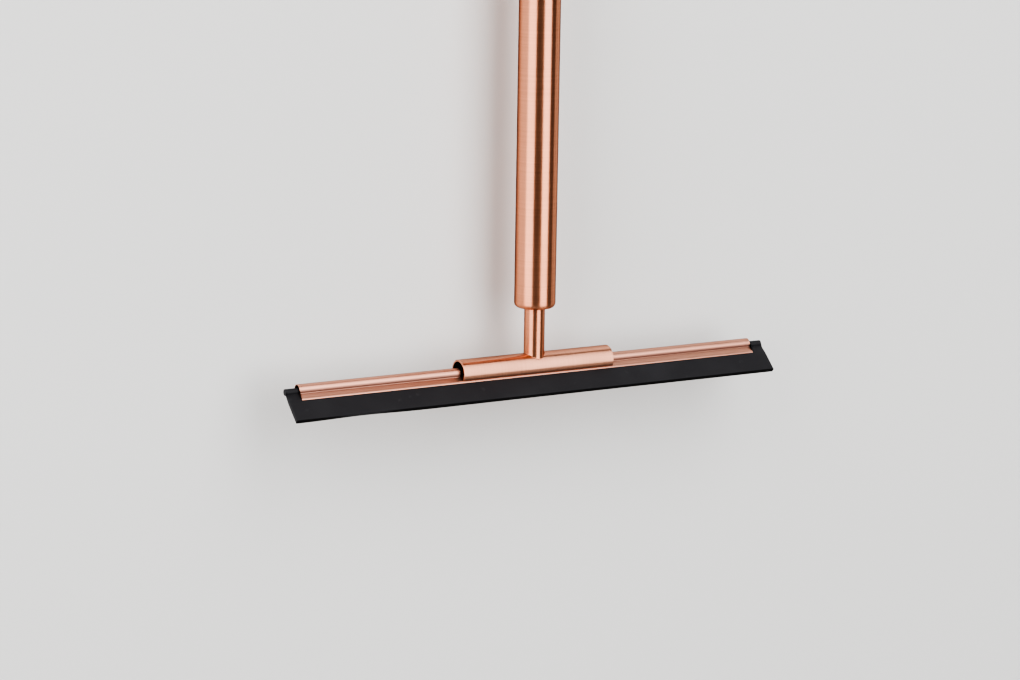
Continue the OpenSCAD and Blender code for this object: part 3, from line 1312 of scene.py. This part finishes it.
@dataclass
class Studio:
    """Floor, backdrop, lights and camera."""

    wall_y: float = 24 * MM
    floor_drop: float = 0.8
    half_width: float = 6.0
    wall_top: float = 4.0
    wall_grey: float = 0.78
    floor_grey: float = 0.32
    reflected: Colour = (0.10, 0.09, 0.085)
    seen: Colour = (0.40, 0.40, 0.395)
    light_rise: float = 0.05
    azimuth: float = -30.15
    elevation: float = 11.36
    roll: float = 0.9
    distance: float = 1.4104
    lens: float = 102.77
    aim_left: float = 11.47 * MM
    aim_above: float = 12.11 * MM
    boxes: tuple[SoftBox, ...] = (
        SoftBox("box_right", 19.0, 20.0, 1.6, 1.25, 3.4, 2.0),
        SoftBox("box_left", -69.0, 12.0, 1.5, 1.25, 2.4, 1.9),
        SoftBox("panel_right", 80.0, 12.0, 1.5, 0.35, 2.4, 0.5),
    )

    def surface(self, name: str, corners: Sequence[Triple], colour: float) -> None:
        """Makes one flat stage surface that is see-through from its back.

        Args:
            name: The surface's name.
            corners: Its corners, anticlockwise as seen from its front.
            colour: Its grey.
        """
        mesh = bpy.data.meshes.new(name)
        mesh.from_pydata(corners, [], [tuple(range(len(corners)))])
        plane = bpy.data.objects.new(name, mesh)
        bpy.context.scene.collection.objects.link(plane)
        material, tree, base = shader(name + "_paint")
        base.inputs["Base Color"].default_value = (colour, colour * 0.993, colour * 0.982, 1.0)
        base.inputs["Roughness"].default_value = 0.85
        base.inputs["Specular IOR Level"].default_value = 0.15
        clear = add_node(tree, "ShaderNodeBsdfTransparent")
        facing = add_node(tree, "ShaderNodeNewGeometry")
        blend = add_node(tree, "ShaderNodeMixShader")
        tree.links.new(facing.outputs["Backfacing"], blend.inputs[0])
        tree.links.new(base.outputs[0], blend.inputs[1])
        tree.links.new(clear.outputs[0], blend.inputs[2])
        tree.links.new(blend.outputs[0], tree.nodes["Material Output"].inputs["Surface"])
        mesh.materials.append(material)

    def world(self) -> None:
        """Sets a pale surround for the camera and a dim warm one for reflections."""
        world = bpy.data.worlds.new("studio")
        world.use_nodes = True
        tree = world.node_tree
        back = tree.nodes["Background"]
        back.inputs["Color"].default_value = (*self.reflected, 1.0)
        seen = add_node(tree, "ShaderNodeBackground")
        seen.inputs["Color"].default_value = (*self.seen, 1.0)
        path = add_node(tree, "ShaderNodeLightPath")
        blend = add_node(tree, "ShaderNodeMixShader")
        soft = math_node(tree, "MAXIMUM", path.outputs["Is Camera Ray"], path.outputs["Is Diffuse Ray"])
        tree.links.new(soft, blend.inputs[0])
        tree.links.new(back.outputs[0], blend.inputs[1])
        tree.links.new(seen.outputs[0], blend.inputs[2])
        tree.links.new(blend.outputs[0], tree.nodes["World Output"].inputs["Surface"])
        bpy.context.scene.world = world

    def camera(self, centre: Vector) -> None:
        """Sets up the camera, in front of, above and to the left of the head.

        Args:
            centre: The middle of the clip tube.
        """
        a, e, r = (math.radians(v) for v in (self.azimuth, self.elevation, self.roll))
        back = Vector((math.sin(a) * math.cos(e), -math.cos(a) * math.cos(e), math.sin(e)))
        level = Vector((math.cos(a), math.sin(a), 0.0))
        above = back.cross(level)
        right = level * math.cos(r) + above * math.sin(r)
        up = above * math.cos(r) - level * math.sin(r)
        data = bpy.data.cameras.new("camera")
        data.lens, data.sensor_width = self.lens, 36.0
        eye = bpy.data.objects.new("camera", data)
        place = centre - right * self.aim_left + up * self.aim_above + back * self.distance
        turn = Matrix((right, up, back)).transposed()
        eye.matrix_world = Matrix.Translation(place) @ turn.to_4x4()
        bpy.context.scene.collection.objects.link(eye)
        bpy.context.scene.camera = eye

    def build(self, centre: Vector) -> None:
        """Builds the whole studio round the clip tube's middle."""
        floor_z = centre.z - self.floor_drop
        wide, y, top = self.half_width, self.wall_y, self.wall_top
        foot = [(-wide, y, floor_z), (wide, y, floor_z)]
        front = [(-wide, -wide, floor_z), (wide, -wide, floor_z)]
        self.surface("backdrop", [*foot, (wide, y, top), (-wide, y, top)], self.wall_grey)
        self.surface("floor", [*front, *reversed(foot)], self.floor_grey)
        for box in self.boxes:
            box.build(centre + Vector((0, 0, self.light_rise)))
        self.world()
        self.camera(centre)
        scene = bpy.context.scene
        scene.view_settings.view_transform = "AgX"
        scene.view_settings.look = "AgX - Very High Contrast"


def main() -> None:
    """Builds the studio, the finishes and every piece."""
    logging.basicConfig(level=logging.INFO, format="%(name)s: %(message)s")
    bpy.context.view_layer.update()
    place = BladeFrame()
    groups = Groups(grain_group(), handling_group(), depth_group())
    light, dark = (0.96, 0.45, 0.285), (0.72, 0.32, 0.20)
    pale, dull = (0.85, 0.47, 0.355), (0.75, 0.41, 0.31)
    fine, along = 5200.0, 30.0
    upright = BrushedMetal("copper_upright", light, dark, (along, along, fine), Axis.Z).material(groups, place)
    soft, deep = (0.96, 0.525, 0.375), (0.80, 0.41, 0.285)
    cross = BrushedMetal("copper_cross", soft, deep, (fine, along, along), Axis.X).material(groups, place)
    lengthwise = BrushedMetal(
        "copper_lengthwise",
        pale,
        dull,
        (18.0, 2600.0, 2600.0),
        Axis.X,
        smooth=0.34,
        rough=0.40,
        depth=0.001 * MM,
        stretch=0.4,
        # Depth of the middle of the painted crease shade, in mm.
        crease=2.65,
    ).material(groups, place)
    grey, deep_grey = (0.62, 0.62, 0.63), (0.48, 0.48, 0.49)
    ivory, deep_ivory = (0.84, 0.83, 0.78), (0.76, 0.75, 0.70)
    steel = PlainSolid("thread_steel", grey, deep_grey, 1.0, (0.25, 0.4)).material(groups)
    nylon = PlainSolid("washer_nylon", ivory, deep_ivory, 0.0, (0.45, 0.6)).material(groups)
    rubber = SatinRubber().material(groups, place)

    Studio().build(Vector((0.0, 0.0, place.axis_z)))
    Handle().build(upright)
    Neck().build(upright, steel, nylon)
    ClipTube().build(place, cross)
    BladeChannel().build(place, lengthwise)
    RubberBlade().build(place, rubber)


if __name__ == "__main__":
    main()
